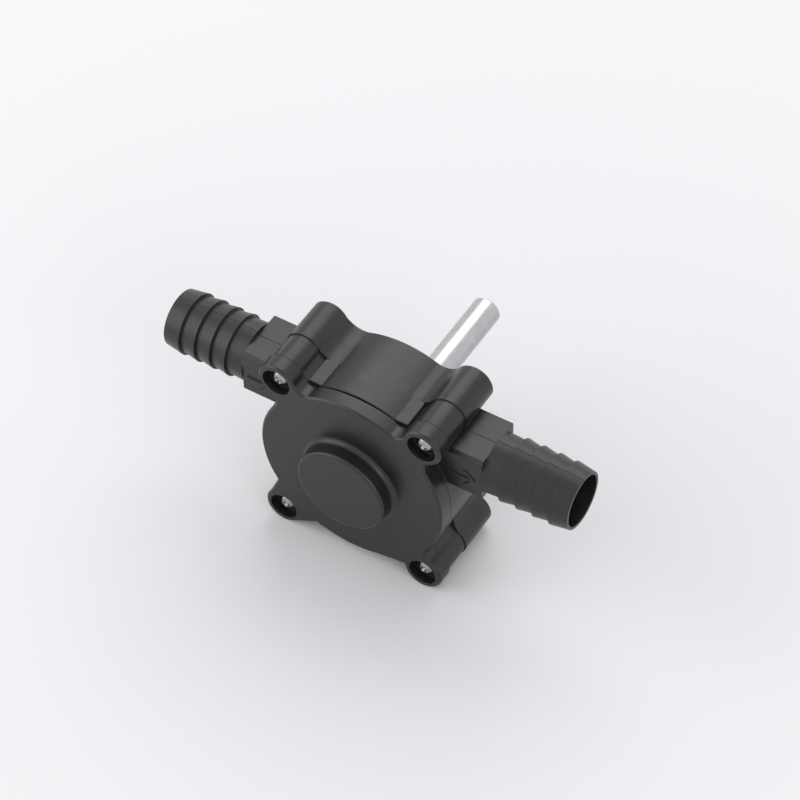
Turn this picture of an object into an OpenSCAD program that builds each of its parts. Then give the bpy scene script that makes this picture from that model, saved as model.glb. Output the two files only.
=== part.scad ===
// Drill powered transfer pump with a flexible impeller.
// The origin is on the shaft axis at the rear face of the hub. +Y runs out along
// the drive shank, +X from the inlet nozzle to the outlet nozzle, +Z up to the nozzles.

/* [Body] */
// Length over both hose nozzles
overall_l = 118; // [112:1:126]
// Outer radius of the round body, casing and cover alike
body_r = 26.7; // [26.2:0.1:28]
// Depth of the casing from the cover joint to its rear face
casing_depth = 21.6; // [20.6:0.1:23]
// Radius of the impeller chamber
chamber_r = 20; // [19:0.1:20.4]
// Depth of the impeller chamber
chamber_depth = 16; // [15.6:0.1:17]
// Thickness of the chamber floor
floor_t = 2.4; // [2:0.1:3]
// How far the cam between the ports narrows the chamber
cam_rise = 3.2; // [2:0.1:4]
// Radius of the cam's face
cam_r = 22; // [21:0.5:25]
// Radius of the hub behind the casing
hub_r = 12.5; // [12:0.1:13.5]
// Number of ribs in the cored rear face
rib_n = 8; // [4:1:10]
// Thickness of each rear rib
rib_t = 1.6; // [1:0.1:2.5]
// Wall round the cored rear face
rim_t = 2.3; // [1.8:0.1:3]
// Chamfer along the outer edges of the mouldings
edge_bevel = 0.5; // [0.2:0.05:0.8]

/* [Cover] */
// Thickness of the front cover
cover_t = 4.6; // [4.4:0.1:6]
// Radius of the round boss on the cover
boss_r = 12.75; // [12:0.05:14]
// Height of the boss above the cover
boss_h = 5; // [4.8:0.1:7]
// Rounding of the boss's front edge
boss_round = 0.8; // [0.3:0.1:1.5]
// Radius of the hollow fillet round the boss's foot
boss_fillet = 1.5; // [0.8:0.1:2.5]
// Gap where the cover bows off the casing at the top
bow_gap = 0.5; // [0.2:0.05:0.6]
// Half width of the bowed stretch
bow_half = 14; // [11:0.5:16]

/* [Screw ears] */
// Distance of each screw from the shaft, sideways
ear_x = 21; // [20.5:0.1:22]
// Distance of each screw from the shaft, up or down
ear_z = 24.2; // [23.6:0.1:25]
// Radius of the cover's ears
ear_r = 5.4; // [5:0.1:5.8]
// Radius of the full rear half of the casing's ears
ear_back_r = 5.2; // [5.1:0.05:5.6]
// Radius of the slim front half of the casing's ears
ear_slim_r = 4.9; // [4.4:0.1:5]
// Fillet between the cover's ears and its round edge
cover_fillet = 3.2; // [2.6:0.1:5]
// Fillet beside the slim front half of the casing's ears
slim_fillet = 4; // [2.4:0.1:4.6]
// Fillet beside the full rear half of the casing's ears
rear_fillet = 6; // [5:0.1:7]
// Distance of each locating tab from the middle
tab_x = 10.6; // [9.8:0.05:11]
// Width of each locating tab
tab_w = 3.7; // [3:0.1:4.2]
// Height of the tabs' flat tops above the shaft
tab_z = 24.7; // [24.6:0.05:25.2]

/* [Nozzles] */
// Height of the nozzles above the shaft
nozzle_z = 14.9; // [14:0.1:15.5]
// Distance of the nozzle axis behind the cover joint
nozzle_depth = 8.4; // [8:0.1:9]
// Length of each barbed nozzle outside its block
nozzle_l = 24; // [22:0.5:28]
// Radius at the mouth of the nozzle and at the foot of each barb
nozzle_r = 7.8; // [7.6:0.05:8.2]
// Radius of the barb crests
barb_r = 8.55; // [8.3:0.05:9]
// Distance from one barb to the next
barb_pitch = 4.65; // [4.2:0.05:5]
// Number of barbs
barb_n = 4; // [3:1:4]
// Distance from the nozzle's mouth to the first barb's crest
barb_first = 5; // [4.5:0.1:6.6]
// Radius of the bore in the nozzle
bore_r = 7; // [6.4:0.05:7.1]
// Radius of the port from the block into the chamber
port_r = 5.5; // [4.8:0.05:5.8]
// Width of the square block, front to back
block_w = 15.3; // [14:0.1:15.6]
// Height of the square block
block_h = 13.7; // [13:0.1:15]
// Chamfer along the block's front edges
block_bevel = 0.9; // [0.4:0.1:1.2]
// Length of the raised arrow on each block
arrow_l = 7; // [5:0.1:7.5]
// Height of the arrow above the block's face
arrow_rise = 0.35; // [0.2:0.05:0.6]

/* [Impeller] */
// Radius of the rubber hub
rotor_r = 9.5; // [8.5:0.1:10.5]
// Number of vanes
vane_n = 6; // [5:1:7]
// Thickness of a vane at its root
vane_root_t = 4.4; // [3.4:0.1:5]
// Thickness of a vane near its tip
vane_tip_t = 1.7; // [1.2:0.1:2]
// Radius of the bead along a vane's tip
bead_r = 1.25; // [1:0.05:1.5]
// Radius that a free vane would reach
free_r = 21.4; // [20.8:0.1:22]
// Outer radius of the brass insert
insert_r = 6.5; // [6:0.1:7.5]

/* [Shaft] */
// Radius of the drive shaft
shaft_r = 4; // [3.8:0.05:4.2]
// Length of shank standing out of the hub
shank_l = 32; // [26:0.5:40]
// Chamfer at the shank's tip
shank_bevel = 0.8; // [0.4:0.1:1.2]
// Radius of the front journal
journal_r = 3; // [2.6:0.05:3.2]
// Width of the square key
key_w = 2; // [1.6:0.1:2.4]
// Length of the key
key_l = 11; // [8:0.5:13]

/* [Front bearing] */
// Outer radius of the bronze bush
bush_r = 5; // [4.6:0.1:6]
// Length of the bronze bush
bush_l = 5.4; // [4:0.1:5.6]
// Radius of the thrust washers
washer_r = 8; // [7.2:0.1:9]
// Thickness of the thrust washers
washer_t = 1; // [0.8:0.05:1.2]

/* [Shaft seal] */
// Outer radius of the lip seal
seal_r = 8; // [7.8:0.1:8.4]
// Width of the lip seal
seal_w = 5; // [4.6:0.1:6]
// Thickness of the seal's steel case
seal_case_t = 0.8; // [0.6:0.05:1]
// Thickness of the garter spring
garter_t = 0.9; // [0.7:0.05:1.1]

/* [Rear bearing] */
// Outer radius of the ball bearing
bearing_r = 9.5; // [9.3:0.1:10]
// Width of the ball bearing
bearing_w = 6; // [5.6:0.1:7]
// Radius of the inner ring's shoulder
inner_ring_r = 5.5; // [5.3:0.05:5.7]
// Radius of the outer ring's inner shoulder
outer_ring_r = 8; // [7.8:0.05:8.2]
// Radius of each ball
ball_r = 1.5875; // [1.4:0.0125:1.65]
// Number of balls
ball_n = 7; // [6:1:8]
// Thickness of each shield
shield_t = 0.3; // [0.2:0.05:0.4]
// Thickness of the retaining rings
ring_t = 1; // [0.8:0.05:1.2]

/* [Screws] */
// Radius of the recess round each screw head
recess_r = 3.95; // [3.6:0.05:4.1]
// Depth of the recess
recess_depth = 2.7; // [2.5:0.1:3.4]
// Radius of the screw head
head_r = 2.5; // [2.2:0.05:2.9]
// Height of the screw head
head_h = 1.9; // [1.5:0.1:2.2]
// Radius of the screw's thread
screw_r = 1.45; // [1.3:0.05:1.6]
// Length of the screw under its head
screw_l = 19; // [15:0.5:20]

/* [Seal ring] */
// Width of casing left between the chamber and the seal ring's groove
groove_land = 1.5; // [1.2:0.1:1.8]
// Width of the seal ring's groove
groove_w = 2.2; // [1.9:0.1:2.4]
// Depth of the seal ring's groove
groove_depth = 1.4; // [1.1:0.1:1.6]

/* [Fits] */
// Gap between the rotor's running surfaces
running_gap = 0.05; // [0.03:0.01:0.08]
// Gap between fixed pieces that are pushed together
seat_gap = 0.02; // [0.01:0.01:0.05]
// Gap between turning and fixed faces that only pass each other
free_gap = 0.35; // [0.3:0.05:0.5]
// Gap at the impeller's ends and round its vane tips
end_gap = 0.2; // [0.15:0.05:0.3]

/* [Hidden] */
$fn = 96;

// A cutting tool's overrun past the faces that it opens
over = 1;
// How far a fillet and a straight flank bite into the round faces beside them
bite = 0.05;
flank_bite = 0.25;

// Places along the shaft, from the hub's rear face forwards
hub_lip = 0.8;
slot_play = 0.1;
ring_slot = ring_t + slot_play;
y_hub = 0;
y_ring = y_hub - hub_lip - ring_slot;
y_bearing = y_ring - bearing_w;
seat_step = 0.2;
y_seal = y_bearing - seat_step - seal_w;
y_floor = y_seal - floor_t;
y_joint = y_floor - chamber_depth;
y_back = y_joint + casing_depth;
y_face = y_joint - cover_t;
y_boss = y_face - boss_h;
y_nozzle = y_joint + nozzle_depth;

// The rotor's places. The journal ends inside the bush, its shoulder inside the insert
shoulder_in = 1.2;
y_rotor_front = y_joint + end_gap;
y_rotor_rear = y_floor - end_gap;
y_washer = y_joint - washer_t;
y_bush = y_washer - seat_gap - bush_l;
y_tip = y_bush + free_gap;
y_shoulder = y_rotor_front + shoulder_in;

// Nozzle and cam
nozzle_end = overall_l / 2;
block_end = nozzle_end - nozzle_l;
cam_z = chamber_r - cam_rise - cam_r;
port_in = 9;
neck_l = 2;
weld_r = block_h / 2 - edge_bevel;
tail_share = 0.35;
tail_r = nozzle_r + (barb_r - nozzle_r) * tail_share;

ears = [[ear_x, ear_z], [-ear_x, ear_z], [-ear_x, -ear_z], [ear_x, -ear_z]];
upper_right = ears[0];
upper_left = ears[1];
lower_left = ears[2];
lower_right = ears[3];

plastic = [0.17, 0.17, 0.18];
steel = [0.72, 0.73, 0.75];
dark_steel = [0.4, 0.41, 0.43];
brass = [0.8, 0.65, 0.35];
bronze = [0.68, 0.47, 0.28];
rubber = [0.1, 0.1, 0.1];
nylon = [0.85, 0.83, 0.76];

// A flat shape, drawn as X and Z, made solid from y0 back to y1
module slab(y0, y1) {
    translate([0, y1, 0]) rotate([90, 0, 0]) linear_extrude(y1 - y0) children();
}

// A round bar along Y from y0 back to y1
module rod(r, y0, y1) {
    translate([0, y1, 0]) rotate([90, 0, 0]) cylinder(r = r, h = y1 - y0);
}

// A ring along Y from y0 back to y1
module tube(r_out, r_in, y0, y1) {
    difference() {
        rod(r_out, y0, y1);
        rod(r_in, y0 - over, y1 + over);
    }
}

// A profile of radius and distance back from y0, turned about Y
module turned(y0) {
    translate([0, y0, 0]) rotate([-90, 0, 0]) rotate_extrude() children();
}

module at_xz(p) {
    translate([p[0], 0, p[1]]) children();
}

// A round bar with a chamfer at either end
module bevelled_rod(r, y0, y1, front = 0, rear = 0) {
    h = y1 - y0;
    turned(y0) polygon([
        [0, 0], [r - front, 0], [r, front], [r, h - rear], [r - rear, h], [0, h]
    ]);
}

// The tool that hollows a fillet, wider at the chamfered ends
module fillet_tool(r, y0, y1, front, rear) {
    h = y1 - y0;
    turned(y0) polygon([
        [0, -over], [r + front + over, -over], [r, front],
        [r, h - rear], [r + rear + over, h + over], [0, h + over]
    ]);
}

// Centre of the fillet that touches the body's edge and an ear, turned to one side of the ear
function fillet_centre(ear, side, r_ear, r_fillet) =
    let (
        reach = norm(ear), a = body_r + r_fillet, b = r_ear + r_fillet,
        turn = acos((a * a + reach * reach - b * b) / (2 * a * reach)),
        angle = atan2(ear[1], ear[0]) + side * turn
    )
    a * [cos(angle), sin(angle)];

// The filled corner between the body's edge and one side of an ear
module web(ear, side, r_ear, r_fillet, y0, y1, front = 0, rear = 0) {
    c = fillet_centre(ear, side, r_ear, r_fillet);
    difference() {
        slab(y0, y1) polygon([[0, 0], ear, c]);
        at_xz(c) fillet_tool(r_fillet + bite, y0, y1, front, rear);
    }
}

// Where the straight line from a point just touches a circle
function touch_point(from, centre, r, side) =
    let (
        v = from - centre,
        angle = atan2(v[1], v[0]) + side * acos(r / norm(v))
    )
    centre + r * [cos(angle), sin(angle)];

// The start of a straight flank, moved back into the round body that it leaves
function sunk_start(p, q) = p - (q - p) / norm(q - p) * over;

// Chamfers a straight edge of the cover's front face from p to q, a hair less than the
// round edges, so that the two chamfers cross cleanly
module straight_bevel(p, q) {
    v = q - p;
    side = (edge_bevel - bite) * sqrt(2);
    translate([p[0], y_face, p[1]]) rotate([0, -atan2(v[1], v[0]), 0])
        translate([norm(v) / 2, 0, 0]) rotate([45, 0, 0])
            cube([norm(v) + over * 2, side, side], center = true);
}

// The outline that the cover's ears share, the lower left one with straight flanks
flank_angles = [-113.8, -147.4];
inner_foot = body_r * [cos(flank_angles[0]), sin(flank_angles[0])];
outer_foot = body_r * [cos(flank_angles[1]), sin(flank_angles[1])];
inner_end = touch_point(inner_foot, lower_left, ear_r - flank_bite, -1);
outer_end = touch_point(outer_foot, lower_left, ear_r - flank_bite, 1);
inner_start = sunk_start(inner_foot, inner_end);
outer_start = sunk_start(outer_foot, outer_end);
sweep_end = lower_right - [ear_r - flank_bite, 0];
sweep_start = sunk_start(touch_point(sweep_end, [0, 0], body_r - flank_bite, -1), sweep_end);

module cover_outline() {
    bevelled_rod(body_r, y_face, y_joint, front = edge_bevel);
    for (ear = ears)
        at_xz(ear) bevelled_rod(ear_r, y_face, y_joint, front = edge_bevel);
    for (side = [-1, 1]) {
        web(upper_right, side, ear_r, cover_fillet, y_face, y_joint, front = edge_bevel);
        web(upper_left, side, ear_r, cover_fillet, y_face, y_joint, front = edge_bevel);
    }
    web(lower_right, 1, ear_r, cover_fillet, y_face, y_joint, front = edge_bevel);
    difference() {
        slab(y_face, y_joint) polygon([
            [0, 0], outer_start, outer_end, lower_left, inner_end, inner_start
        ]);
        straight_bevel(outer_start, outer_end);
        straight_bevel(inner_start, inner_end);
    }
    difference() {
        slab(y_face, y_joint) polygon([[0, 0], sweep_start, sweep_end, lower_right]);
        straight_bevel(sweep_start, sweep_end);
    }
}

module boss() {
    foot = boss_r + boss_fillet;
    translate([0, y_face, 0]) rotate([90, 0, 0]) rotate_extrude() difference() {
        union() {
            square([boss_r, boss_h - boss_round]);
            square([boss_r - boss_round, boss_h]);
            translate([boss_r - boss_round, boss_h - boss_round]) circle(boss_round);
            translate([0, -over]) square([foot, boss_fillet + over]);
        }
        translate([foot, boss_fillet]) circle(boss_fillet);
    }
}

// The sliver of air under the bowed top edge of the cover
module bow_relief() {
    bow_r = (bow_half * bow_half + bow_gap * bow_gap) / (2 * bow_gap);
    rim = chamber_r + groove_land + groove_w + edge_bevel;
    intersection() {
        tube(body_r + over, rim, y_joint - over, y_joint + over);
        translate([0, y_joint - bow_gap + bow_r, 0]) cylinder(r = bow_r, h = body_r + over);
    }
}

module front_cover() {
    color(plastic) difference() {
        union() {
            cover_outline();
            boss();
        }
        for (ear = ears) at_xz(ear) {
            rod(recess_r, y_face - over, y_face + recess_depth);
            rod(screw_r + free_gap / 2, y_face, y_joint + over);
        }
        rod(bush_r + seat_gap, y_bush - seat_gap, y_joint + over);
        rod(washer_r + seat_gap, y_washer - seat_gap, y_joint + over);
        bow_relief();
    }
}

// Half profile of a barbed nozzle: radius and distance in from its mouth. Each barb
// falls back to the nozzle's radius on the side of the block, whose end the tail meets
function nozzle_profile() = concat(
    [[0, 0], [nozzle_r, 0]],
    [for (i = [0:barb_n - 1]) each [
        [barb_r, barb_first + i * barb_pitch],
        [nozzle_r, barb_first + i * barb_pitch]
    ]],
    [[tail_r, nozzle_l], [weld_r, nozzle_l], [weld_r, nozzle_l + over], [0, nozzle_l + over]]
);

module nozzle() {
    translate([nozzle_end, y_nozzle, nozzle_z]) rotate([0, -90, 0])
        rotate_extrude() polygon(nozzle_profile());
}

// The port through the block, the cone at its end and the wide bore of the nozzle
module nozzle_bore() {
    port_l = block_end + over - port_in;
    translate([port_in, y_nozzle, nozzle_z]) rotate([0, 90, 0]) {
        cylinder(r = port_r, h = port_l);
        translate([0, 0, port_l]) cylinder(r1 = port_r, r2 = bore_r, h = neck_l);
        translate([0, 0, port_l + neck_l]) cylinder(r = bore_r, h = nozzle_l);
    }
}

// The square block that carries a nozzle, with chamfered front edges
module block() {
    front = y_nozzle - block_w / 2;
    rear = y_nozzle + block_w / 2;
    low = nozzle_z - block_h / 2;
    high = nozzle_z + block_h / 2;
    translate([port_in, 0, 0]) rotate([90, 0, 90]) linear_extrude(block_end - port_in)
        polygon([
            [front + block_bevel, low], [rear, low], [rear, high],
            [front + block_bevel, high], [front, high - block_bevel], [front, low + block_bevel]
        ]);
}

// A raised arrow that points the way of the flow
arrow_head_share = 0.53;
arrow_spread = 44;
arrow_line = 0.7;
arrow_drop = 1.1;
outlet_arrow_in = 2.2;
inlet_arrow_in = 1.2;
module arrow(x_tip) {
    head = arrow_l * arrow_head_share;
    front = y_nozzle - block_w / 2;
    slab(front - arrow_rise, front + edge_bevel)
        translate([x_tip, nozzle_z - arrow_drop]) {
            translate([-arrow_l, -arrow_line / 2]) square([arrow_l, arrow_line]);
            for (side = [-1, 1])
                rotate(side * arrow_spread)
                    translate([-head, -arrow_line / 2]) square([head, arrow_line]);
        }
}

module casing_outline() {
    bevelled_rod(body_r, y_joint, y_back, rear = edge_bevel);
    for (ear = ears) {
        at_xz(ear) rod(ear_slim_r, y_joint, y_nozzle + over);
        at_xz(ear) bevelled_rod(ear_back_r, y_nozzle, y_back, rear = edge_bevel);
        for (side = [-1, 1]) {
            web(ear, side, ear_slim_r, slim_fillet, y_joint, y_nozzle + over);
            web(ear, side, ear_back_r, rear_fillet, y_nozzle, y_back, rear = edge_bevel);
        }
    }
    bevelled_rod(hub_r, y_back - edge_bevel, y_hub, rear = edge_bevel);
}

// The chamber, its top pressed in by the cam
module chamber() {
    intersection() {
        rod(chamber_r, y_joint - over, y_floor);
        translate([0, 0, cam_z]) rod(cam_r, y_joint - over * 2, y_floor + over);
    }
}

// The shallow hollows between the ribs of the rear face
module rear_cores() {
    r_out = body_r - rim_t;
    difference() {
        tube(r_out, hub_r + rib_t, y_floor + floor_t, y_back + over);
        for (i = [0:rib_n - 1]) rotate([0, i * 360 / rib_n, 0])
            translate([0, y_floor, -rib_t / 2]) cube([body_r, casing_depth, rib_t]);
    }
}

pilot_tip = 1;
module casing() {
    color(plastic) difference() {
        union() {
            casing_outline();
            for (flip = [0, 1]) mirror([flip, 0, 0]) {
                block();
                nozzle();
                translate([tab_x, y_joint, 0]) cube([tab_w, nozzle_depth, tab_z]);
            }
            arrow(block_end - outlet_arrow_in);
            arrow(inlet_arrow_in + arrow_l - block_end);
        }
        chamber();
        for (flip = [0, 1]) mirror([flip, 0, 0]) nozzle_bore();
        tube(
            chamber_r + groove_land + groove_w, chamber_r + groove_land,
            y_joint - over, y_joint + groove_depth
        );
        for (ear = ears) at_xz(ear)
            rod(screw_r + seat_gap, y_joint - over, y_face + recess_depth + screw_l + pilot_tip);
        rear_cores();
        rod(shaft_r + free_gap * 2, y_floor - over, y_seal + over);
        rod(washer_r + seat_gap, y_floor - over, y_floor + washer_t);
        rod(seal_r + seat_gap, y_seal, y_bearing + over);
        rod(bearing_r + seat_gap, y_bearing, y_hub + over);
        rod(bearing_r + ring_t / 2, y_ring, y_ring + ring_slot);
    }
}

// The seal ring squeezed flat between its groove and the cover
module cover_seal_ring() {
    r_mid = chamber_r + groove_land + groove_w / 2;
    color(rubber) turned(y_joint) intersection() {
        translate([r_mid, groove_depth / 2]) circle(groove_w / 2 - seat_gap);
        translate([chamber_r, seat_gap])
            square([(groove_land + groove_w) * 2, groove_depth - seat_gap * 2]);
    }
}

// The driver's cross narrows downwards from its share of the head
slot_w = 0.75;
slot_depth = 1.2;
slot_share = 0.8;
module cross_recess() {
    intersection() {
        translate([0, 0, -slot_depth])
            cylinder(r1 = slot_w / 2, r2 = head_r * slot_share, h = slot_depth + over);
        union() {
            cube([head_r * 2, slot_w, head_h * 2], center = true);
            cube([slot_w, head_r * 2, head_h * 2], center = true);
        }
    }
}

// A pan head screw pointing back along Y, its head seated at y = 0
dome_share = 1.15;
module screw() {
    dome_r = (head_r * head_r + head_h * head_h) / (2 * head_h) * dome_share;
    difference() {
        union() {
            intersection() {
                rod(head_r, -head_h, 0);
                translate([0, dome_r - head_h, 0]) sphere(dome_r);
            }
            bevelled_rod(screw_r, -head_h / 2, screw_l, rear = screw_r / 2);
        }
        translate([0, -head_h, 0]) rotate([90, 0, 0]) cross_recess();
    }
}

screw_turns = [20, 65, 8, 38];
module cover_screws() {
    color(steel) for (i = [0:3]) at_xz(ears[i])
        translate([0, y_face + recess_depth, 0]) rotate([0, screw_turns[i], 0]) screw();
}

// Keyway and key stand on the +Z side of the shaft
key_sink_share = 0.6;
key_base = shaft_r - key_w * key_sink_share;
y_key = (y_rotor_front + y_rotor_rear - key_l) / 2;
clip_groove = 0.3;
module drive_shaft() {
    color(steel) difference() {
        union() {
            bevelled_rod(journal_r, y_tip, y_shoulder + over, front = shank_bevel / 2);
            bevelled_rod(
                shaft_r, y_shoulder, y_hub + shank_l,
                front = shank_bevel / 2, rear = shank_bevel
            );
        }
        translate([-key_w / 2 - seat_gap, y_key - seat_gap, key_base - seat_gap])
            cube([key_w + seat_gap * 2, key_l + seat_gap * 2, shaft_r]);
        tube(shaft_r + over, shaft_r - clip_groove, y_ring, y_ring + ring_slot);
    }
}

module impeller_key() {
    color(dark_steel) translate([-key_w / 2, y_key, key_base]) cube([key_w, key_l, key_w]);
}

module impeller_insert() {
    color(brass) difference() {
        rod(insert_r, y_rotor_front, y_rotor_rear);
        rod(shaft_r + seat_gap, y_rotor_front - over, y_rotor_rear + over);
        translate([-key_w / 2 - seat_gap, y_rotor_front - over, 0])
            cube([key_w + seat_gap * 2, chamber_depth + over * 2, key_base + key_w + seat_gap]);
    }
}

// Distance from the shaft to the chamber wall at an angle, the cam included
function wall_at(angle) =
    min(chamber_r, cam_z * sin(angle) + sqrt(cam_r * cam_r - pow(cam_z * cos(angle), 2)));
// How far a vane's bead lags behind its root, so that the bent vane keeps its length
function bead_at(angle) = wall_at(angle) - end_gap - bead_r;
function lag(angle) =
    let (reach = free_r - bead_r - rotor_r, gap = bead_at(angle) - rotor_r)
    sqrt(max(0, reach * reach - gap * gap)) / bead_at(angle) * 180 / PI;
function bead_angle(root, steps) =
    steps == 0 ? root : root - lag(bead_angle(root, steps - 1));
function polar(r, angle) = r * [cos(angle), sin(angle)];
// A point on the bent middle line of a vane, from the root at 0 to the bead at 1
root_share = 0.9;
function vane_point(root, tip, t) =
    let (
        p0 = polar(rotor_r * root_share, root),
        p1 = polar((rotor_r + bead_at(tip)) / 2, root),
        p2 = polar(bead_at(tip), tip)
    )
    (1 - t) * (1 - t) * p0 + 2 * t * (1 - t) * p1 + t * t * p2;
// A point on either face of a vane, which flares out towards its root
function vane_side(root, tip, t, side) =
    let (
        p = vane_point(root, tip, t),
        v = vane_point(root, tip, t + 1 / vane_steps) - vane_point(root, tip, t - 1 / vane_steps),
        half = (vane_tip_t + (vane_root_t - vane_tip_t) * pow(1 - t, 2)) / 2
    )
    p + side * half * [-v[1], v[0]] / norm(v);

vane_steps = 10;
bend_steps = 6;
module vane(root) {
    tip = bead_angle(root, bend_steps);
    slab(y_rotor_front, y_rotor_rear) polygon(concat(
        [for (i = [0:vane_steps]) vane_side(root, tip, i / vane_steps, 1)],
        [for (i = [vane_steps:-1:0]) vane_side(root, tip, i / vane_steps, -1)]
    ));
    at_xz(polar(bead_at(tip), tip)) rod(bead_r, y_rotor_front, y_rotor_rear);
}

first_vane = 15;
module impeller() {
    color(rubber) difference() {
        union() {
            rod(rotor_r, y_rotor_front, y_rotor_rear);
            for (i = [0:vane_n - 1]) vane(first_vane + i * 360 / vane_n);
        }
        rod(insert_r + seat_gap, y_rotor_front - over, y_rotor_rear + over);
    }
}

module front_bush() {
    color(bronze) tube(bush_r, journal_r + running_gap, y_bush, y_bush + bush_l);
}

module front_thrust_washer() {
    color(nylon) tube(washer_r, journal_r + free_gap, y_washer, y_joint - seat_gap);
}

module rear_thrust_washer() {
    color(nylon)
        tube(washer_r, shaft_r + free_gap, y_floor + seat_gap, y_floor + washer_t - seat_gap);
}

// The seal's steel case is a cup, open towards the chamber
seal_front = y_seal + seat_gap;
module seal_case() {
    color(dark_steel) difference() {
        bevelled_rod(seal_r, seal_front, seal_front + seal_w - seat_gap, front = seal_case_t / 2);
        rod(seal_r - seal_case_t, seal_front - over, seal_front + seal_w - seal_case_t);
        rod(shaft_r + free_gap * 3, seal_front, y_bearing);
    }
}

// Rubber lip: a foot bonded in the case, a thin neck and a head that rides on the shaft.
// The garter spring lies in the groove of its head
lip_l = seal_w - seal_case_t;
lip_head_share = 0.3;
lip_neck_shares = [0.48, 0.7, 0.75];
garter_share = 1.45;
garter_at = [shaft_r + garter_t * garter_share, lip_l * lip_head_share];
module seal_lip() {
    head = garter_at[1];
    neck = shaft_r + free_gap;
    wall = seal_r - seal_case_t - seat_gap;
    foot = lip_l - seat_gap;
    color(rubber) turned(seal_front) difference() {
        polygon([
            [shaft_r + running_gap, head], [neck, head / 3], [garter_at[0], head / 4],
            [garter_at[0] + garter_t / 3, lip_l * lip_neck_shares[0]],
            [neck + garter_t, lip_l * lip_neck_shares[1]],
            [wall, lip_l * lip_neck_shares[2]], [wall, foot], [neck, foot]
        ]);
        translate(garter_at) circle(garter_t / 2 + seat_gap);
    }
}

module seal_spring() {
    color(steel) turned(seal_front) translate(garter_at) circle(garter_t / 2);
}

// Ball bearing: the races hug the balls with the running gap
pitch_r = (inner_ring_r + outer_ring_r) / 2;
y_balls = y_bearing + bearing_w / 2;
race_r = ball_r + running_gap;
shield_in = 0.35;
shield_depth = shield_in + shield_t;
shield_seat_r = outer_ring_r + shield_t * 2;
module race() {
    turned(y_balls) translate([pitch_r, 0]) circle(race_r);
}

module bearing_outer_ring() {
    color(steel) difference() {
        tube(bearing_r, outer_ring_r, y_bearing, y_ring);
        race();
        rod(shield_seat_r, y_bearing - over, y_bearing + shield_depth);
        rod(shield_seat_r, y_ring - shield_depth, y_ring + over);
    }
}

module bearing_inner_ring() {
    color(steel) difference() {
        tube(inner_ring_r, shaft_r + seat_gap, y_bearing, y_ring);
        race();
    }
}

module around_race() {
    for (i = [0:ball_n - 1]) rotate([0, i * 360 / ball_n, 0])
        translate([pitch_r, y_balls, 0]) children();
}

module bearing_balls() {
    color(steel) around_race() sphere(ball_r);
}

// The cage is a comb: a band in front of the balls, and prongs that reach past their middles
// between round pockets
cage_band = 1.3;
cage_shares = [1.3, 0.55];
module bearing_cage() {
    color(nylon) difference() {
        tube(
            pitch_r + cage_band / 2, pitch_r - cage_band / 2,
            y_balls - ball_r * cage_shares[0], y_balls + ball_r * cage_shares[1]
        );
        around_race() rotate([0, 90, 0])
            cylinder(r = race_r, h = cage_band * 2, center = true);
    }
}

module shield(y0) {
    tube(shield_seat_r - seat_gap, inner_ring_r + shield_t, y0, y0 + shield_t);
}

module bearing_front_shield() {
    color(dark_steel) shield(y_bearing + shield_in);
}

module bearing_rear_shield() {
    color(dark_steel) shield(y_ring - shield_depth);
}

// A ring with a gap and two eyed ends, for a groove in a bore or on a shaft
ring_half_gap = 24;
eye_hole_share = 0.45;
module open_ring(r_out, r_in, eye_r, eye_at) {
    y0 = y_ring + seat_gap;
    ends = [-90 - ring_half_gap, -90 + ring_half_gap];
    difference() {
        union() {
            difference() {
                tube(r_out, r_in, y0, y0 + ring_t);
                slab(y0 - over, y0 + ring_t + over)
                    polygon([[0, 0], polar(r_out * 2, ends[0]), polar(r_out * 2, ends[1])]);
            }
            for (end = ends) at_xz(polar(eye_at, end)) rod(eye_r, y0, y0 + ring_t);
        }
        for (end = ends) at_xz(polar(eye_at, end))
            rod(eye_r * eye_hole_share, y0 - over, y0 + ring_t + over);
    }
}

retaining_eye_r = 1.1;
module bearing_retaining_ring() {
    r_in = bearing_r - retaining_eye_r;
    color(dark_steel) open_ring(bearing_r + ring_t / 2 - seat_gap, r_in, retaining_eye_r, r_in);
}

circlip_eye_r = 0.9;
module shaft_circlip() {
    r_out = shaft_r + ring_t;
    color(dark_steel) open_ring(r_out, shaft_r - clip_groove + seat_gap, circlip_eye_r, r_out);
}

casing();
front_cover();
cover_seal_ring();
cover_screws();
drive_shaft();
impeller_key();
impeller_insert();
impeller();
front_bush();
front_thrust_washer();
rear_thrust_washer();
seal_case();
seal_lip();
seal_spring();
bearing_outer_ring();
bearing_inner_ring();
bearing_balls();
bearing_cage();
bearing_front_shield();
bearing_rear_shield();
bearing_retaining_ring();
shaft_circlip();
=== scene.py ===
import math

import bpy
from mathutils import Matrix, Vector


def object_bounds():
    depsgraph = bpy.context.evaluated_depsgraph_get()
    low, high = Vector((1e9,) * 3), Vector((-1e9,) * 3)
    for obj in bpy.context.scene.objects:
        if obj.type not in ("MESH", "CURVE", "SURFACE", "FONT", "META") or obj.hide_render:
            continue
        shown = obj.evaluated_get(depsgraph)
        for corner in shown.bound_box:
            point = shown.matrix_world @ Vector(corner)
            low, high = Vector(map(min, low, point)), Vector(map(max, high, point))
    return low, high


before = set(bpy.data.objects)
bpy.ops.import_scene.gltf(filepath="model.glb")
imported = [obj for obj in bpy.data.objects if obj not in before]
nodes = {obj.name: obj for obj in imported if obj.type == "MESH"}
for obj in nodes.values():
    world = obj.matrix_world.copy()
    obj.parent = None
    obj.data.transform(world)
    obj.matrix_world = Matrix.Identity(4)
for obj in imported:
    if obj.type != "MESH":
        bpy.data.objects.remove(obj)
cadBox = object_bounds()
mm = 0.001
print("pump: frame loaded with", len(nodes), "pieces")

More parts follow.
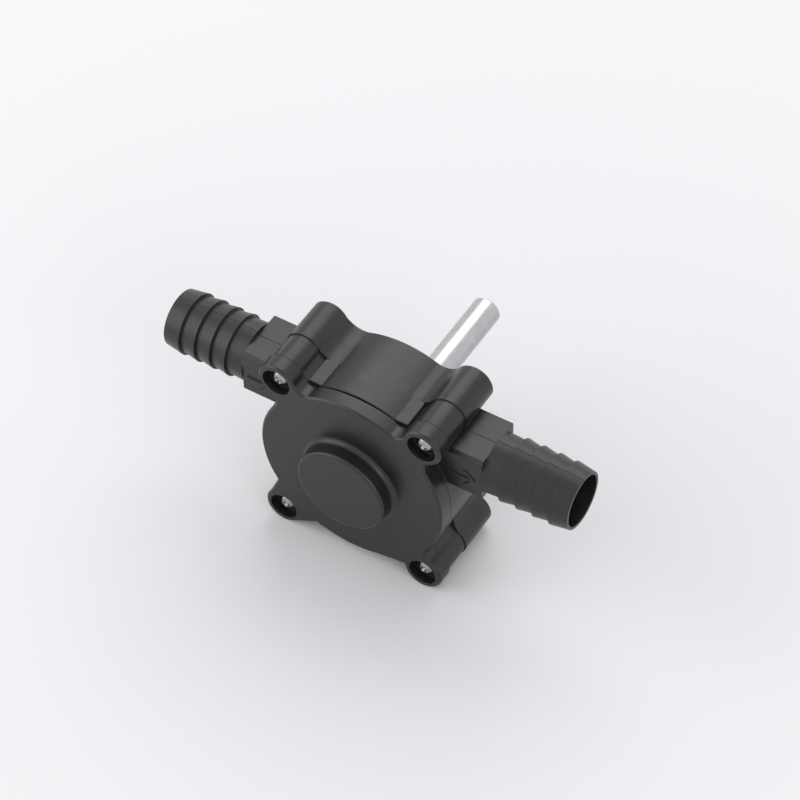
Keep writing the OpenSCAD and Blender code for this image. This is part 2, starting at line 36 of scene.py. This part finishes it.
# Where the camera stands: it looks down on the front cover from the outlet's side
shot = {
    "azimuth": 32.37,             # degrees round from straight in front, towards the outlet
    "elevation": 48.93,           # degrees above the level of the shaft
    "roll": -1.03,                # degrees, anticlockwise tilt of the camera
    "aim": (-1.12, -10.31, 4.1),  # millimetres, the point that the camera looks at
    "distance": 794.8,            # millimetres from that point
    "lens": 140.43,               # millimetres, focal length
    "nearest": 0.01,              # metres, as is the next: the range that the camera sees
    "furthest": 20,
}


def turned(degrees, axis):
    return Matrix.Rotation(math.radians(degrees), 4, axis)


def makeCamera():
    lens = bpy.data.cameras.new("camera")
    lens.lens = shot["lens"]
    lens.clip_start = shot["nearest"]
    lens.clip_end = shot["furthest"]
    camera = bpy.data.objects.new("camera", lens)
    bpy.context.scene.collection.objects.link(camera)
    aim = Matrix.Translation(Vector(shot["aim"]) * mm)
    back = Matrix.Translation((0, 0, shot["distance"] * mm))
    around = turned(shot["azimuth"], "Z") @ turned(90 - shot["elevation"], "X")
    around = around @ turned(shot["roll"], "Z")
    camera.matrix_world = aim @ around @ back
    bpy.context.scene.camera = camera


makeCamera()
print("pump: camera set")

plainWhite = (1, 1, 1, 1)


class Num:
    # A number or colour in a node tree. Arithmetic on a number adds the Math nodes
    def __init__(self, wiring, socket):
        self.wiring = wiring
        self.socket = socket

    def calc(self, operation, *others):
        return self.wiring.sum(operation, self, *others)

    def __add__(self, other):
        return self.calc("ADD", other)

    def __sub__(self, other):
        return self.calc("SUBTRACT", other)

    def __rsub__(self, other):
        return self.wiring.sum("SUBTRACT", other, self)

    def __mul__(self, other):
        return self.calc("MULTIPLY", other)

    def __truediv__(self, other):
        return self.calc("DIVIDE", other)

    def __abs__(self):
        return self.calc("ABSOLUTE")

    def __gt__(self, other):
        return self.calc("GREATER_THAN", other)

    def __lt__(self, other):
        return self.calc("LESS_THAN", other)

    # A noise swings to both sides of its middle, which is 0.5
    def swing(self, amount):
        return (self - 0.5) * amount

    __radd__ = __add__
    __rmul__ = __mul__


class Wiring:
    # The nodes of one material, or of the world
    def __init__(self, tree):
        self.tree = tree

    # Adds any node: its settings first, then the values or links of its sockets
    def add(self, kind, settings={}, sockets={}, out=0):
        node = self.tree.nodes.new(kind)
        for name, value in settings.items():
            if name == "stops":
                for stop, (at, tone) in zip(node.color_ramp.elements, value):
                    stop.position = at
                    stop.color = (tone, tone, tone, 1)
            else:
                setattr(node, name, value)
        for name, value in sockets.items():
            self.feed(node.inputs[name], value)
        return Num(self, node.outputs[out])

    def feed(self, socket, value):
        if isinstance(value, Num):
            self.tree.links.new(value.socket, socket)
        else:
            socket.default_value = value

    def sum(self, operation, *values):
        return self.add("ShaderNodeMath", {"operation": operation}, dict(enumerate(values)))

    # 1 for what the camera sees, also where a shiny surface reflects it, and 0 for all other light
    def seen(self):
        camera = self.add("ShaderNodeLightPath", out="Is Camera Ray")
        glossy = self.add("ShaderNodeLightPath", out="Is Glossy Ray")
        return self.sum("MAXIMUM", camera, glossy)


bevelSamples = 6
sharpCorner = 0.25      # 1 less the cosine of the normals' angle, on a corner that counts as sharp


class Finish(Wiring):
    # One surface finish: a material, its Principled shader and what feeds it
    def __init__(self, name, **fixed):
        self.material = bpy.data.materials.new(name)
        self.material.use_nodes = True
        super().__init__(self.material.node_tree)
        self.shader = self.tree.nodes["Principled BSDF"]
        self.use(**fixed)
        self.place = self.add("ShaderNodeTexCoord", out="Object")
        axes = self.add("ShaderNodeSeparateXYZ", {}, {0: self.place})
        self.x, self.y, self.z = [Num(self, s) for s in axes.socket.node.outputs]

    # The shader's sockets by name, with _ for a space
    def use(self, **sockets):
        for name, value in sockets.items():
            self.feed(self.shader.inputs[name.replace("_", " ")], value)
        return self.material

    def stretched(self, x, y, z):
        return self.add("ShaderNodeMapping", {}, {"Vector": self.place, "Scale": (x, y, z)})

    # Noise whose spots are about the given size in millimetres
    def noise(self, size, detail, at=None):
        return self.add("ShaderNodeTexNoise", {}, {
            "Vector": at or self.place, "Scale": 1 / (size * mm), "Detail": detail
        })

    def ramp(self, value, *stops):
        return self.add("ShaderNodeValToRGB", {"stops": stops}, {0: value})

    # Sockets 6 and 7 take the two colours, and output 2 gives the mixed one
    def blend(self, factor, a, b):
        a, b = [(*colour, 1) if isinstance(colour, tuple) else colour for colour in (a, b)]
        return self.add("ShaderNodeMix", {"data_type": "RGBA"}, {"Factor": factor, 6: a, 7: b}, out=2)

    # The normal of a surface whose corners are rounded to the given radius
    def rounded(self, radius):
        return self.add("ShaderNodeBevel", {"samples": bevelSamples}, {"Radius": radius * mm})

    # How much an edge stands out: 0 on the flat, up to 1 along a sharp corner
    def edges(self, radius):
        flat = self.add("ShaderNodeNewGeometry", out="Normal")
        same = self.add("ShaderNodeVectorMath", {"operation": "DOT_PRODUCT"}, {
            0: self.rounded(radius), 1: flat
        }, out="Value")
        return self.ramp(1 - same, (0, 0), (sharpCorner, 1))

    def bump(self, height, depth, normal):
        return self.add("ShaderNodeBump", {}, {
            "Height": height, "Distance": depth * mm, "Normal": normal
        })


# Moulded black nylon, spark-eroded to a fine matt, its edges polished a little by handling.
# Lengths are in millimetres, and a noise is given by the size of its spots and its detail
moulding = {
    "dark": (0.007, 0.007, 0.0073),
    "light": (0.0125, 0.0125, 0.0129),
    "bend": 1.5,                       # index of refraction
    "gloss": 0.5,                      # specular level, where 0.5 is a bare smooth plastic
    "rough": 0.34,
    "clouds": (11, 4),
    "mottle": (2.2, 5),
    "spread": 0.16,                    # how far these two each swing the roughness
    "flow": (1.6, 4),                  # streaks that the melt left, drawn out along x
    "flowStretch": (0.2, 1.4, 1),
    "flowSpread": 0.06,
    "pebbles": (0.7, 3),
    "grain": (0.16, 3),
    "grainDepth": 0.007,
    "flowRelief": 0.8,                 # each relief is a multiple of the grain's depth
    "mottleRelief": 5,
    "pebbleRelief": 1.8,
    "edgeRadius": 0.25,

    "worn": (0.034, 0.034, 0.0345),
    "wornWidth": 0.45,                 # how far from an edge the wear reaches
    "rubs": (3.2, 5),                  # the patches in which edges are rubbed
    "rubFrom": 0.42,                   # noise at which a patch starts, and where it is full
    "rubFull": 0.72,
    "rubAmount": 0.45,
    "rubPolish": 0.1,                  # how much smoother a rubbed edge is

    "deep": (0.0012, 0.0012, 0.0012),  # inside the fine lines
    "lineRelief": 8,
    "ragged": (0.7, 4),
    "joint": -31.5,                    # y of the joint between cover and casing
    "jointHalf": 0.16,                 # half its width, times the sum of the next three
    "jointThin": 0.35,
    "jointRagged": 0.9,
    "jointOpen": 0.7,                  # only above jointTop, where the joint stands open
    "jointTop": 23.0,
    "jointInner": 22.5,                # the line shows only outside this radius
    "jointOuter": 28,                  # and nearer the middle than this, so not on the nozzles
    "jointRough": 0.35,

    "flashAndHighlightTone": (0.11, 0.11, 0.11),       # torn flecks along the joint, and also the tone of the painted highlight along one ear
    "flecks": (0.9, 3),
    "fleckFrom": 0.68,                 # a fleck shows where its noise is above this
    "fleckReach": 1.9,                 # times the joint's own width
    "fleckCover": 0.6,                 # how much of the dark joint a fleck hides

    "parting": -23.1,                  # y of the plane where the halves of the mould met
    "partingHalf": 0.11,               # half its width, times the sum of the next two
    "partingThin": 0.45,
    "partingRagged": 1.1,
    "partingFrom": 18,
    "partingDark": 0.9,
    "partingRough": 0.3,

    "nozzleFrom": 35,                  # fine lines run round the nozzles from here out
    "toolMarks": (0.55, 3),
    "toolStretch": (2.2, 0.12, 0.12),
    "toolRelief": 4,
    "toolRough": 0.08,

    "earX": -21,                       # the ear with a thin flash line along its outer side, lightened there as a painted highlight
    "earZ": 24.2,
    "earAcross": (0.422, 0.907),       # x and z of the direction across that line
    "flashHighlightHalf": 0.13,
    "flashHighlightThin": 0.3,
    "flashHighlightOut": 2,                   # it shows only further out than this from the ear's middle
    "flashHighlightBack": -20,                # and in front of this y
    "flashHighlightBright": 0.7,
    "flashHighlightPolish": 0.1,

    "pinMarks": [(-1.9, -25.0, 1.7), (7.7, -21.9, 1.7)],  # x, y and radius of faint marks on top
    "pinEdge": 0.14,
    "pinRingRelief": 2.2,
    "pinDiscRelief": 0.8,
    "pinPolish": 0.05,
}


def moulded(name, casing):
    look = moulding
    f = Finish(name, IOR=look["bend"], Specular_IOR_Level=look["gloss"])
    x, y, z = f.x / mm, f.y / mm, f.z / mm
    clouds = f.noise(*look["clouds"])
    mottle = f.noise(*look["mottle"])
    grain = f.noise(*look["grain"])
    flow = f.noise(*look["flow"], f.stretched(*look["flowStretch"]))
    patches = f.ramp(f.noise(*look["rubs"]), (look["rubFrom"], 0), (look["rubFull"], 1))
    rubbed = f.edges(look["wornWidth"]) * patches * look["rubAmount"]
    colour = f.blend(clouds * 0.5 + mottle * 0.5, look["dark"], look["light"])
    colour = f.blend(rubbed, colour, look["worn"])
    rough = look["rough"] + clouds.swing(look["spread"]) + mottle.swing(look["spread"])
    rough = rough + flow.swing(look["flowSpread"]) - rubbed * look["rubPolish"]
    height = grain + flow * look["flowRelief"] + mottle * look["mottleRelief"]
    height = height + f.noise(*look["pebbles"]) * look["pebbleRelief"]

    # The open joint is dark and ragged, with torn flecks of flash along it
    ragged = f.noise(*look["ragged"])
    fromAxis = f.sum("SQRT", x * x + z * z)
    outside = (fromAxis > look["jointInner"]) * (abs(x) < look["jointOuter"])
    onTop = z > look["jointTop"]
    beside = abs(y - look["joint"])
    wide = look["jointThin"] + ragged * look["jointRagged"] + onTop * look["jointOpen"]
    wide = look["jointHalf"] * wide
    joint = (beside < wide) * outside
    torn = f.noise(*look["flecks"]) > look["fleckFrom"]
    fleck = (beside < wide * look["fleckReach"]) * torn * outside
    colour = f.blend(fleck, colour, look["flashAndHighlightTone"])
    colour = f.blend(joint * (1 - fleck * look["fleckCover"]), colour, look["deep"])
    rough = rough + joint * look["jointRough"]
    height = height - joint * look["lineRelief"]

    if casing:
        # The line where the halves of the mould met
        across = abs(y - look["parting"])
        thin = look["partingHalf"] * (look["partingThin"] + ragged * look["partingRagged"])
        line = (across < thin) * (abs(x) > look["partingFrom"])
        colour = f.blend(line * look["partingDark"], colour, look["deep"])
        rough = rough + line * look["partingRough"]
        height = height - line * look["lineRelief"]

        # Fine lines that the mould's tooling left round the nozzles
        marks = f.noise(*look["toolMarks"], f.stretched(*look["toolStretch"]))
        marks = marks * (abs(x) > look["nozzleFrom"])
        height = height + marks * look["toolRelief"]
        rough = rough + marks * look["toolRough"]

        # A thin flash line along one ear, made lighter and smoother: the lighter tone is a painted
        # highlight of grazing light
        acrossX, acrossZ = look["earAcross"]
        across = (x - look["earX"]) * acrossX + (z - look["earZ"]) * acrossZ
        flashHighlightLine = abs(across) < look["flashHighlightHalf"] * (look["flashHighlightThin"] + ragged)
        flashHighlightLine = flashHighlightLine * (x < look["earX"] - look["flashHighlightOut"]) * (y < look["flashHighlightBack"])
        # Painted highlight: the line's colour is lightened towards the flash tone
        colour = f.blend(flashHighlightLine * look["flashHighlightBright"], colour, look["flashAndHighlightTone"])
        rough = rough - flashHighlightLine * look["flashHighlightPolish"]

        # Round marks where pins pushed the moulding out, each a fine groove round a sunken disc
        for markX, markY, markR in look["pinMarks"]:
            dx, dy = x - markX, y - markY
            away = f.sum("SQRT", dx * dx + dy * dy)
            ring = (abs(away - markR) < look["pinEdge"]) * onTop
            disc = (away < markR) * onTop
            height = height - ring * look["pinRingRelief"] - disc * look["pinDiscRelief"]
            rough = rough - disc * look["pinPolish"]
    normal = f.bump(height, look["grainDepth"], f.rounded(look["edgeRadius"]))
    return f.use(Base_Color=colour, Roughness=rough, Normal=normal)


# What all the metals share, in millimetres, with noises given as above
metal = {
    "clouds": (3.5, 3),
    "lineDetail": 3,
    "wornWidth": 0.25,
    "wornAmount": 0.4,
    "lineSpread": 0.16,     # how far the fine lines swing the roughness
    "cloudSpread": 0.08,
}


# Steel, brass or bronze. A stretch other than (1, 1, 1) draws its fine lines out round the
# shaft's axis, as grinding and turning leave them
def steel(name, look):
    f = Finish(name, Metallic=1.0)
    lines = f.noise(look["line"], metal["lineDetail"], f.stretched(*look["stretch"]))
    clouds = f.noise(*metal["clouds"])
    colour = f.blend(clouds, look["dark"], look["light"])
    colour = f.blend(f.edges(metal["wornWidth"]) * metal["wornAmount"], colour, look["worn"])
    rough = look["rough"] + lines.swing(metal["lineSpread"]) + clouds.swing(metal["cloudSpread"])
    normal = f.bump(lines, look["depth"], f.rounded(look["edgeRadius"]))
    return f.use(Base_Color=colour, Roughness=rough, Normal=normal)


shankLook = {
    "dark": (0.4, 0.4, 0.41), "light": (0.54, 0.54, 0.55), "worn": (0.7, 0.7, 0.71),
    "rough": 0.27, "line": 0.35, "stretch": (0.1, 4, 0.1), "depth": 0.004, "edgeRadius": 0.15,
}
screwLook = {
    "dark": (0.28, 0.28, 0.29), "light": (0.4, 0.4, 0.41), "worn": (0.66, 0.66, 0.67),
    "rough": 0.22, "line": 0.3, "stretch": (1, 1, 1), "depth": 0.004, "edgeRadius": 0.12,
}
ringLook = {
    "dark": (0.09, 0.09, 0.095), "light": (0.16, 0.16, 0.17), "worn": (0.3, 0.3, 0.31),
    "rough": 0.38, "line": 0.4, "stretch": (1, 1, 1), "depth": 0.004, "edgeRadius": 0.1,
}
bearingLook = {
    "dark": (0.52, 0.52, 0.54), "light": (0.62, 0.62, 0.64), "worn": (0.75, 0.75, 0.76),
    "rough": 0.2, "line": 0.25, "stretch": (0.2, 5, 0.2), "depth": 0.002, "edgeRadius": 0.1,
}
brassLook = {
    "dark": (0.6, 0.42, 0.16), "light": (0.74, 0.54, 0.24), "worn": (0.85, 0.68, 0.36),
    "rough": 0.3, "line": 0.3, "stretch": (0.1, 4, 0.1), "depth": 0.004, "edgeRadius": 0.12,
}
bronzeLook = {
    "dark": (0.36, 0.22, 0.11), "light": (0.5, 0.32, 0.17), "worn": (0.62, 0.44, 0.27),
    "rough": 0.5, "line": 0.25, "stretch": (1, 1, 1), "depth": 0.01, "edgeRadius": 0.12,
}

rubberLook = {
    "dark": (0.018, 0.018, 0.018), "light": (0.03, 0.03, 0.03), "bend": 1.5,
    "clouds": (4, 3), "grain": (0.25, 3), "depth": 0.01, "edgeRadius": 0.2,
    "rough": 0.62, "spread": 0.15,
}


def rubber(name):
    look = rubberLook
    f = Finish(name, IOR=look["bend"])
    clouds = f.noise(*look["clouds"])
    grain = f.noise(*look["grain"])
    colour = f.blend(clouds, look["dark"], look["light"])
    rough = look["rough"] + clouds.swing(look["spread"])
    normal = f.bump(grain, look["depth"], f.rounded(look["edgeRadius"]))
    return f.use(Base_Color=colour, Roughness=rough, Normal=normal)


# Natural nylon, turned round its axis
nylonLook = {
    "dark": (0.66, 0.63, 0.53), "light": (0.76, 0.74, 0.66), "bend": 1.53,
    "clouds": (3, 3), "rings": (0.3, 3), "stretch": (1, 3, 1), "depth": 0.006, "edgeRadius": 0.12,
    "rough": 0.46, "spread": 0.12,
}


def nylon(name):
    look = nylonLook
    f = Finish(name, IOR=look["bend"])
    clouds = f.noise(*look["clouds"])
    rings = f.noise(*look["rings"], f.stretched(*look["stretch"]))
    colour = f.blend(clouds, look["dark"], look["light"])
    rough = look["rough"] + rings.swing(look["spread"])
    normal = f.bump(rings, look["depth"], f.rounded(look["edgeRadius"]))
    return f.use(Base_Color=colour, Roughness=rough, Normal=normal)


finishes = {
    "casing": moulded("casing nylon", True),
    "front_cover": moulded("cover nylon", False),
    "cover_screws": steel("plated screw steel", screwLook),
    "drive_shaft": steel("ground shaft steel", shankLook),
    "impeller_key": steel("key steel", ringLook),
    "impeller_insert": steel("turned brass", brassLook),
    "front_bush": steel("sintered bronze", bronzeLook),
    "impeller": rubber("impeller rubber"),
    "cover_seal_ring": rubber("ring rubber"),
    "seal_lip": rubber("lip rubber"),
    "front_thrust_washer": nylon("washer nylon"),
    "rear_thrust_washer": nylon("rear washer nylon"),
    "bearing_cage": nylon("cage nylon"),
    "seal_case": steel("seal case steel", ringLook),
    "seal_spring": steel("spring steel", bearingLook),
    "bearing_outer_ring": steel("outer race steel", bearingLook),
    "bearing_inner_ring": steel("inner race steel", bearingLook),
    "bearing_balls": steel("ball steel", bearingLook),
    "bearing_front_shield": steel("front shield steel", bearingLook),
    "bearing_rear_shield": steel("rear shield steel", bearingLook),
    "bearing_retaining_ring": steel("retaining ring steel", ringLook),
    "shaft_circlip": steel("circlip steel", ringLook),
}
for name, material in finishes.items():
    mesh = nodes[name].data
    mesh.materials.clear()
    mesh.materials.append(material)
print("pump: finishes on", len(finishes), "pieces")


# Lengths and places here are in metres
studio = {
    "floorSize": 6.0,
    "floorTone": (0.86, 0.86, 0.865),
    "floorRough": 0.9,
    "shadowEnd": 0.1,       # this far from the middle, the paper starts to fade to plain white
    "paperEnd": 0.42,       # and here it is all white to the camera
    "skyTone": (0.9, 0.92, 0.95),
    "skyLevel": 0.66,
}
lamps = {
    "key": {"from": (-0.6, -0.42, 0.36), "size": 0.8, "power": 2.3},
    "top": {"from": (-0.2, 0.62, 0.8), "size": 0.95, "power": 3.7},
    "fill": {"from": (0.75, -0.35, 0.4), "size": 0.6, "power": 1.6},
}


def makeFloor():
    mesh = bpy.data.meshes.new("floor")
    half = studio["floorSize"] / 2
    low = cadBox[0][2]
    corners = [(-half, -half, low), (half, -half, low), (half, half, low), (-half, half, low)]
    mesh.from_pydata(corners, [], [(0, 1, 2, 3)])
    floor = bpy.data.objects.new("floor", mesh)
    bpy.context.scene.collection.objects.link(floor)
    f = Finish("floor paper")
    f.use(Base_Color=(*studio["floorTone"], 1), Roughness=studio["floorRough"])
    away = f.sum("SQRT", f.x * f.x + f.y * f.y) / studio["paperEnd"]
    far = f.ramp(away, (studio["shadowEnd"] / studio["paperEnd"], 0), (1, 1))
    paper = Num(f, f.shader.outputs[0])
    white = f.add("ShaderNodeEmission", {}, {"Color": plainWhite, "Strength": 1})
    mixed = f.add("ShaderNodeMixShader", {}, {0: far * f.seen(), 1: paper, 2: white})
    f.feed(f.tree.nodes["Material Output"].inputs["Surface"], mixed)
    mesh.materials.append(f.material)


# Each lamp is a soft disc that faces the frame's origin
def makeLamps():
    for name, lamp in lamps.items():
        light = bpy.data.lights.new(name, "AREA")
        light.shape = "DISK"
        light.size = lamp["size"]
        light.energy = lamp["power"]
        holder = bpy.data.objects.new(name, light)
        holder.location = lamp["from"]
        aim = -Vector(lamp["from"])
        holder.rotation_euler = aim.to_track_quat("-Z", "Y").to_euler()
        bpy.context.scene.collection.objects.link(holder)


# Plain white to the camera and in reflections, while the sky's own tone lights the pump
def makeSky():
    world = bpy.data.worlds.new("studio")
    world.use_nodes = True
    w = Wiring(world.node_tree)
    sky = w.tree.nodes["Background"]
    w.feed(sky.inputs["Color"], (*studio["skyTone"], 1))
    w.feed(sky.inputs["Strength"], studio["skyLevel"])
    white = w.add("ShaderNodeBackground", {}, {"Color": plainWhite, "Strength": 1})
    mixed = w.add("ShaderNodeMixShader", {}, {0: w.seen(), 1: Num(w, sky.outputs[0]), 2: white})
    w.feed(w.tree.nodes["World Output"].inputs["Surface"], mixed)
    bpy.context.scene.world = world


makeFloor()
makeLamps()
makeSky()
bpy.context.scene.view_settings.view_transform = "Standard"
print("pump: studio lit")
